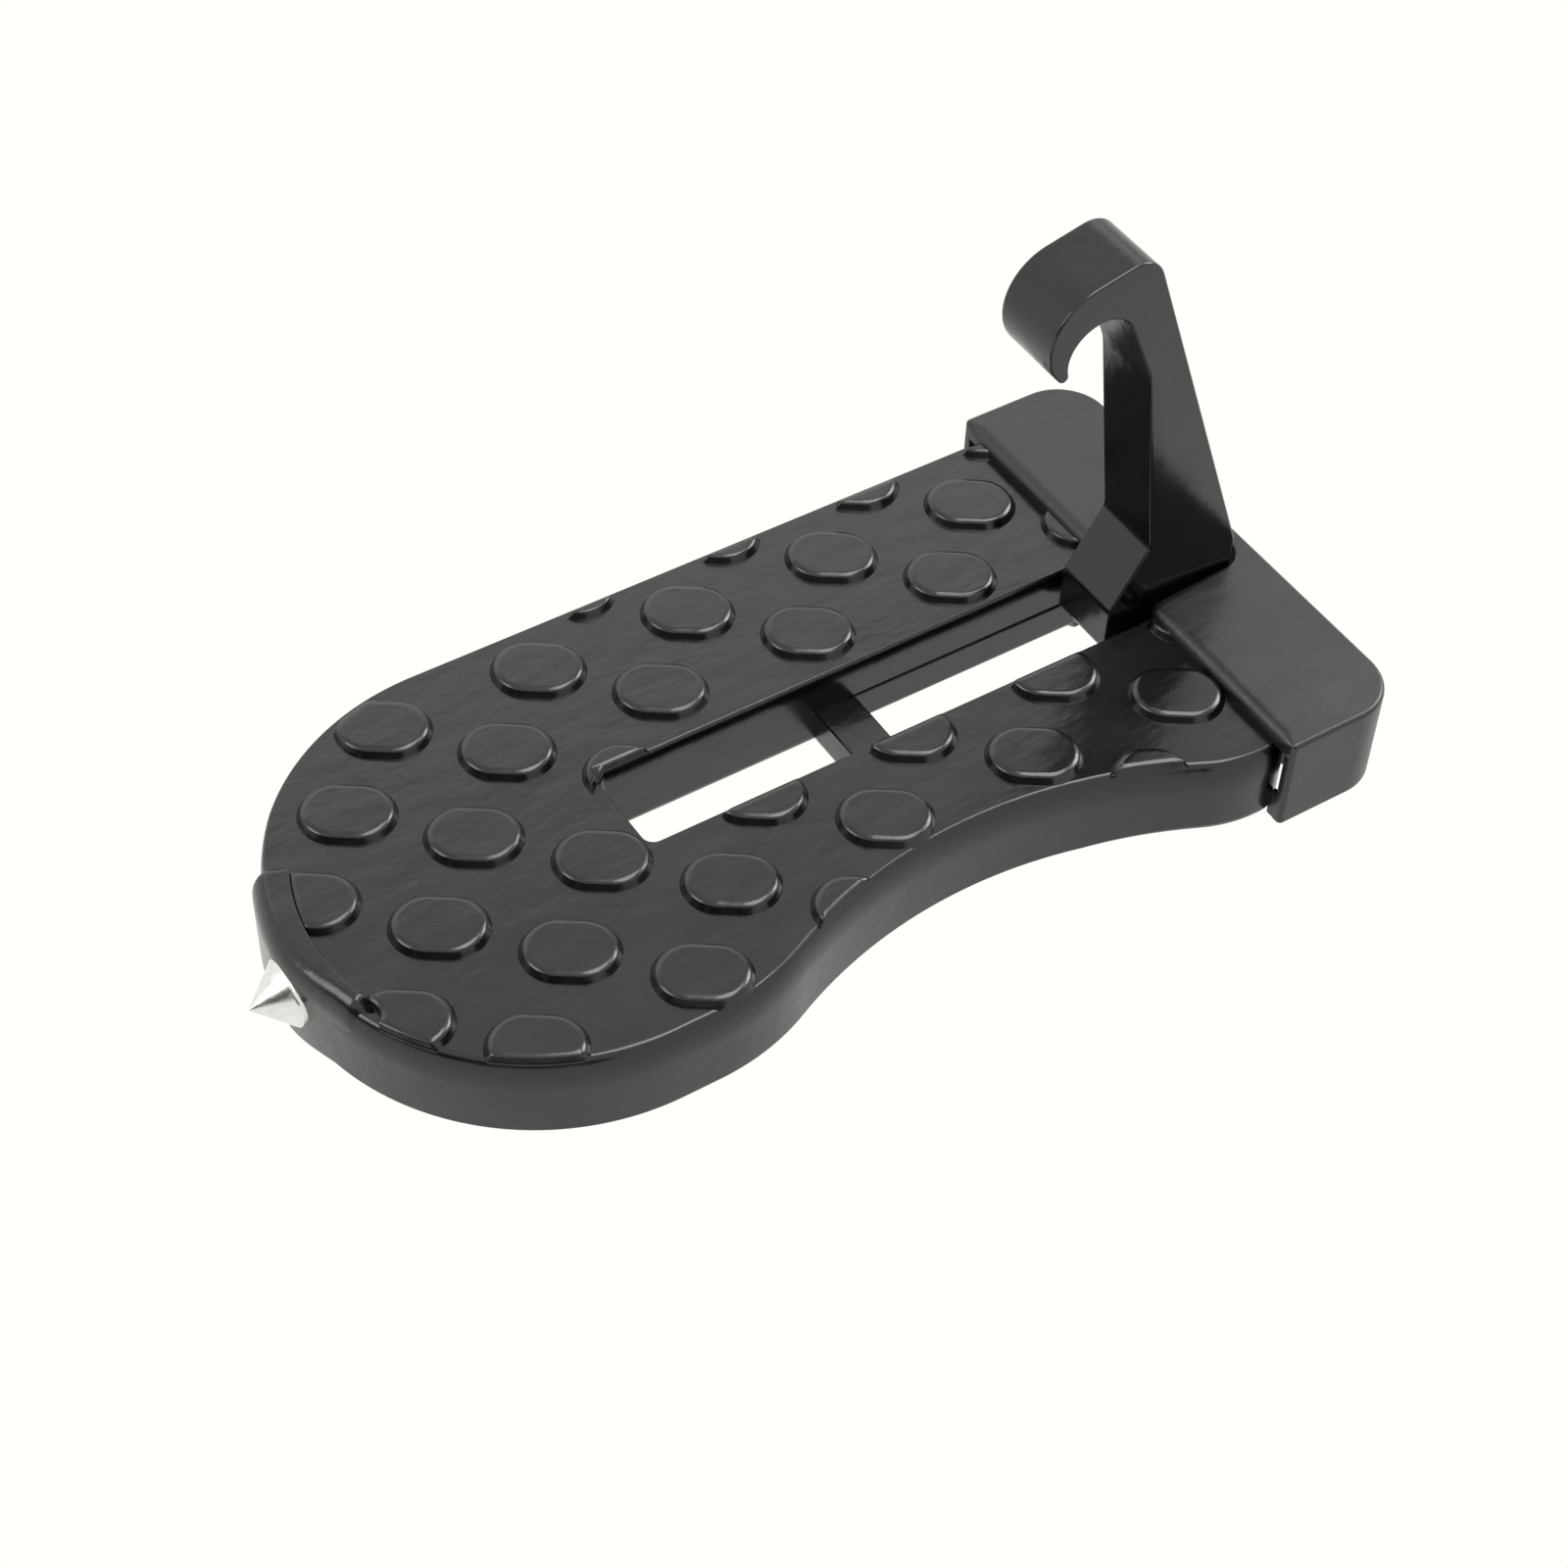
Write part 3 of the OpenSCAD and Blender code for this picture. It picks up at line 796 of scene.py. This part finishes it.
def build_tip():
    """Turned cone with a small flat point and a rounded foot."""
    shell = Shell()
    count = 72
    nx, nr = unit(-TIP_R, TIP_BASE_X - TIP_POINT_X)
    # X, radius and normal
    profile = (
        (TIP_POINT_X + 0.05, 0.02, -1, 0),
        (TIP_POINT_X + 0.12, 0.16, nx, nr),
        (TIP_BASE_X - 0.35, TIP_R - 0.33, nx, nr),
        (TIP_BASE_X - 0.12, TIP_R - 0.06, -0.3, 0.95),
        (TIP_BASE_X + 0.1, TIP_R, 0, 1),
        (TIP_BASE_X + 1.4, TIP_R, 0, 1),
    )
    rings = []
    for x, radius, ax, ar in profile:
        ring = []
        for i in range(count):
            a = -2 * math.pi * i / count
            c, s = math.cos(a), math.sin(a)
            ring.append(shell.add(x, radius * c, TIP_Z + radius * s, ax, ar * c, ar * s))
        rings.append(ring)
    for a, b in zip(rings, rings[1:]):
        for i in range(count):
            j = (i + 1) % count
            shell.face((a[i], b[i], b[j], a[j]))
    shell.face(rings[0])
    shell.build("breaker_tip_cone", tip_steel, "step", "hammer_tip")


build_plate()
build_hook()
build_bumper()
build_tip()
for node in ("hinge_pin", "bumper_screw_near", "bumper_screw_far"):
    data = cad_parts[node].data
    data.materials.clear()
    data.materials.append(fixing_steel)

# Stage: white floor, world, dark board and lights, in metres

WHITE = (1.0, 1.0, 0.965, 1)
ROOM_LIGHT = 0.8
DARK_LIGHT = 0.02
ROOM_TONE = (1.0, 0.96, 0.94, 1)
LAMP_TONE = (1.0, 0.97, 0.95)
# Directions in which the world's light gets weaker, and towards which the floor's colour darkens as
# painted shade
DARK_SIDE = (-0.87, -0.5, 0.0)
NEAR_SIDE = (-0.3, -0.95, 0.0)
FLOOR_SIZE = 1.6
# Painted shade on the floor: its tones for the light that it throws back, and where it changes from
# one to the other
FLOOR_SHADE_TONES = (0.6, 0.05)
FLOOR_SHADE_FADE = (0.025, 0.09)
FLAG_PLACE = (-0.52, -0.3, 0.13)
FLAG_SIZE = (1.5, 0.24)
FLAG_TURN = -60.0
FLAG_TONE = (0.02, 0.02, 0.02, 1)


def seen_directly(tree):
    """One for rays from the camera, a reflection or glass, which all show the white background."""
    path = tree.nodes.new("ShaderNodeLightPath")
    either = path.outputs["Is Camera Ray"]
    for kind in ("Is Glossy Ray", "Is Transmission Ray"):
        node = tree.nodes.new("ShaderNodeMath")
        node.operation = "MAXIMUM"
        tree.links.new(either, node.inputs[0])
        tree.links.new(path.outputs[kind], node.inputs[1])
        either = node.outputs["Value"]
    return either


def add_floor():
    """White where it is seen; for the light that it throws back, its colour darkens towards the
    near side as painted shade.
    """
    bpy.ops.mesh.primitive_plane_add(size=FLOOR_SIZE, location=(0, 0, 0))
    floor = bpy.context.object
    floor.name = "studio_floor"
    mat = bpy.data.materials.new("studio white")
    mat.use_nodes = True
    tree = mat.node_tree
    tree.nodes.clear()
    out = tree.nodes.new("ShaderNodeOutputMaterial")
    diffuse = tree.nodes.new("ShaderNodeBsdfDiffuse")
    place = tree.nodes.new("ShaderNodeVectorMath")
    place.operation = "DOT_PRODUCT"
    place.inputs[1].default_value = NEAR_SIDE
    tree.links.new(tree.nodes.new("ShaderNodeTexCoord").outputs["Object"], place.inputs[0])
    # Painted shade: the floor's colour for bounced light darkens towards the near side
    painted_shade = ramp(tree, place.outputs["Value"], *FLOOR_SHADE_TONES, *FLOOR_SHADE_FADE)
    tree.links.new(painted_shade, diffuse.inputs["Color"])
    glow = tree.nodes.new("ShaderNodeEmission")
    glow.inputs["Color"].default_value = WHITE
    glow.inputs["Strength"].default_value = 1.0
    mix = tree.nodes.new("ShaderNodeMixShader")
    tree.links.new(seen_directly(tree), mix.inputs["Fac"])
    tree.links.new(diffuse.outputs["BSDF"], mix.inputs[1])
    tree.links.new(glow.outputs["Emission"], mix.inputs[2])
    tree.links.new(mix.outputs["Shader"], out.inputs["Surface"])
    floor.data.materials.append(mat)


def add_world():
    """White where it is seen; it gives less light from low down on the near left side."""
    world = bpy.data.worlds.new("studio")
    bpy.context.scene.world = world
    world.use_nodes = True
    tree = world.node_tree
    back = tree.nodes["Background"]
    back.inputs["Color"].default_value = ROOM_TONE
    direction = tree.nodes.new("ShaderNodeTexCoord").outputs["Generated"]
    facing = tree.nodes.new("ShaderNodeVectorMath")
    facing.operation = "DOT_PRODUCT"
    facing.inputs[1].default_value = DARK_SIDE
    tree.links.new(direction, facing.inputs[0])
    height = tree.nodes.new("ShaderNodeSeparateXYZ")
    tree.links.new(direction, height.inputs["Vector"])
    side = ramp(tree, facing.outputs["Value"], 0.0, 1.0, from_low=-0.2, from_high=0.3)
    low = ramp(tree, height.outputs["Z"], 1.0, 0.0, from_low=0.2, from_high=0.6)
    dark = tree.nodes.new("ShaderNodeMath")
    dark.operation = "MULTIPLY"
    tree.links.new(side, dark.inputs[0])
    tree.links.new(low, dark.inputs[1])
    strength = ramp(tree, dark.outputs["Value"], ROOM_LIGHT, DARK_LIGHT, 0.0, 1.0)
    tree.links.new(strength, back.inputs["Strength"])
    seen = tree.nodes.new("ShaderNodeBackground")
    seen.inputs["Color"].default_value = WHITE
    mix = tree.nodes.new("ShaderNodeMixShader")
    tree.links.new(seen_directly(tree), mix.inputs["Fac"])
    tree.links.new(back.outputs["Background"], mix.inputs[1])
    tree.links.new(seen.outputs["Background"], mix.inputs[2])
    tree.links.new(mix.outputs["Shader"], tree.nodes["World Output"].inputs["Surface"])


def add_light(name, place, target, size, power):
    """Area lamp that faces a target."""
    data = bpy.data.lights.new(name, "AREA")
    data.shape = "RECTANGLE"
    data.size, data.size_y = size
    data.energy = power
    data.color = LAMP_TONE
    light = bpy.data.objects.new(name, data)
    light.location = place
    light.rotation_euler = (Vector(target) - Vector(place)).to_track_quat("-Z", "Y").to_euler()
    bpy.context.scene.collection.objects.link(light)


def add_flag():
    """Dark board low down on the near left side, for the edges to reflect."""
    bpy.ops.mesh.primitive_plane_add(size=1.0, location=FLAG_PLACE)
    flag = bpy.context.object
    flag.name = "studio_flag"
    flag.scale = (*FLAG_SIZE, 1.0)
    flag.rotation_euler = (math.radians(90), 0.0, math.radians(FLAG_TURN))
    flag.visible_camera = False
    mat = bpy.data.materials.new("flag black")
    mat.use_nodes = True
    mat.node_tree.nodes["Principled BSDF"].inputs["Base Color"].default_value = FLAG_TONE
    flag.data.materials.append(mat)


add_floor()
add_world()
add_flag()
add_light("key", (0.2, -0.12, 0.88), (0.05, 0, 0.02), size=(0.75, 0.45), power=6.0)
add_light("back", (0.2, 1.0, 0.65), (0, 0, 0.02), size=(1.6, 0.7), power=2.2)
add_light("right", (0.75, 0.0, 0.5), (0.15, -0.05, 0.0), size=(0.4, 0.4), power=4.5)
add_light("left", (-0.78, 0.2, 0.52), (-0.05, 0.05, 0.0), size=(0.5, 0.5), power=3.0)

# Camera, fitted to the photograph

CAM_PLACE = (-0.164675, -0.247019, 0.328852)
CAM_RIGHT = (0.843856, -0.535927, 0.026264)
CAM_FORWARD = (0.378520, 0.559886, -0.737055)


def add_camera():
    """Camera from its place and two of its directions."""
    data = bpy.data.cameras.new("camera")
    data.lens = 72.0
    data.sensor_width = 36.0
    data.clip_start = 0.01
    camera = bpy.data.objects.new("camera", data)
    right, back = Vector(CAM_RIGHT), -Vector(CAM_FORWARD)
    up = back.cross(right)
    turn = Matrix((right, up, back)).transposed()
    camera.matrix_world = Matrix.Translation(CAM_PLACE) @ turn.to_4x4()
    bpy.context.scene.collection.objects.link(camera)
    bpy.context.scene.camera = camera


add_camera()
bpy.context.scene.view_settings.view_transform = "Standard"
